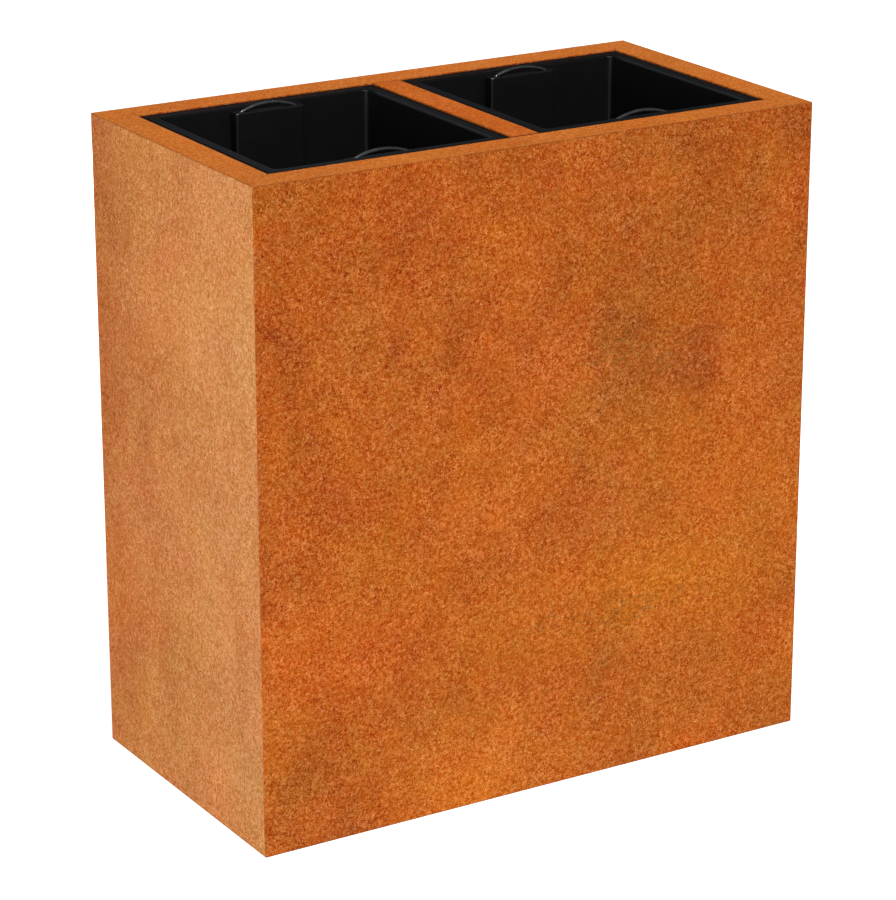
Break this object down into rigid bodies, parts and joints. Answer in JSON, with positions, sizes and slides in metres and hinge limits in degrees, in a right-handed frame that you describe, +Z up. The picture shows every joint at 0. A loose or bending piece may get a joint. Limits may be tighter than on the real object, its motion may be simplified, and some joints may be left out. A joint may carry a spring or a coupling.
{
  "type": "planter box",
  "caption": "Tall rectangular weathering-steel street planter with two lift-out plastic liners, each with pull-up wire handles.",
  "frame": {"origin": "middle of the footprint, on the ground", "axes": "+Z up, X along the length, the large front panel faces -Y, the left end panel faces -X"},
  "size_m": [0.85, 0.45, 0.9035],
  "materials": {
    "weathering_steel_panel": "matte mottled orange-brown rust patina, fine grain",
    "weathering_steel_rim": "matte light orange rust patina, smoother than the panels",
    "weathering_steel_frame": "matte darker brown rust patina, hidden structure",
    "liner_plastic": "satin black moulded polyethylene",
    "handle_wire": "satin black coated round wire",
    "stop_steel": "plain spring steel"
  },
  "bodies": {
    "shell": {"front_panel": "weathering_steel_panel", "back_panel": "weathering_steel_panel", "left_end_panel": "weathering_steel_panel", "right_end_panel": "weathering_steel_panel", "front_rim": "weathering_steel_rim", "back_rim": "weathering_steel_rim", "left_rim": "weathering_steel_rim", "right_rim": "weathering_steel_rim", "crossbar": "weathering_steel_rim", "crossbar_ledge": "weathering_steel_frame", "center_rib": "weathering_steel_frame", "front_ledge": "weathering_steel_frame", "back_ledge": "weathering_steel_frame", "left_end_ledge": "weathering_steel_frame", "right_end_ledge": "weathering_steel_frame", "front_base_angle": "weathering_steel_frame", "back_base_angle": "weathering_steel_frame", "left_base_angle": "weathering_steel_frame", "right_base_angle": "weathering_steel_frame", "base_plate": "weathering_steel_frame"},
    "left_liner": {"left_liner": "liner_plastic"},
    "right_liner": {"right_liner": "liner_plastic"},
    "left_front_handle": {"left_front_handle": "handle_wire", "left_front_handle_stops": "stop_steel"},
    "left_back_handle": {"left_back_handle": "handle_wire", "left_back_handle_stops": "stop_steel"},
    "right_front_handle": {"right_front_handle": "handle_wire", "right_front_handle_stops": "stop_steel"},
    "right_back_handle": {"right_back_handle": "handle_wire", "right_back_handle_stops": "stop_steel"}
  },
  "joints": [
    {"name": "left_liner_lift", "type": "slide", "parent": "shell", "child": "left_liner", "axis": [0, 0, 1], "range_m": [0, 0.35]},
    {"name": "right_liner_lift", "type": "slide", "parent": "shell", "child": "right_liner", "axis": [0, 0, 1], "range_m": [0, 0.35]},
    {"name": "left_front_handle_pull", "type": "slide", "parent": "left_liner", "child": "left_front_handle", "axis": [0, 0, 1], "range_m": [0, 0.07]},
    {"name": "left_back_handle_pull", "type": "slide", "parent": "left_liner", "child": "left_back_handle", "axis": [0, 0, 1], "range_m": [0, 0.07]},
    {"name": "right_front_handle_pull", "type": "slide", "parent": "right_liner", "child": "right_front_handle", "axis": [0, 0, 1], "range_m": [0, 0.07]},
    {"name": "right_back_handle_pull", "type": "slide", "parent": "right_liner", "child": "right_back_handle", "axis": [0, 0, 1], "range_m": [0, 0.07]}
  ]
}
